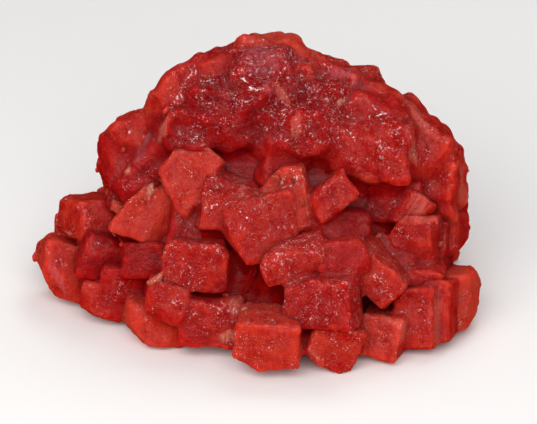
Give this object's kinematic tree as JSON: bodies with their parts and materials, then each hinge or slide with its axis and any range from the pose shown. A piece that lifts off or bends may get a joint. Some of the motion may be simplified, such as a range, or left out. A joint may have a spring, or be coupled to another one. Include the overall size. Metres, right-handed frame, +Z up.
{
  "type": "raw tuna cubes",
  "caption": "Loose heap of raw red tuna flesh cut into rough cubes, with larger pressed pieces on top, joined as one solid with a flat underside.",
  "frame": {"origin": "on the surface that the heap stands on, under its middle", "axes": "+X to the right of the heap as the picture shows it, along its longest side; +Y away from the viewer; +Z up, its shortest side"},
  "size_m": [0.1235, 0.1058, 0.0776],
  "materials": {
    "flesh": "wet raw tuna flesh, deep red, glossy and slightly translucent"
  },
  "bodies": {
    "root": {"tuna_cubes": "flesh"}
  },
  "joints": []
}
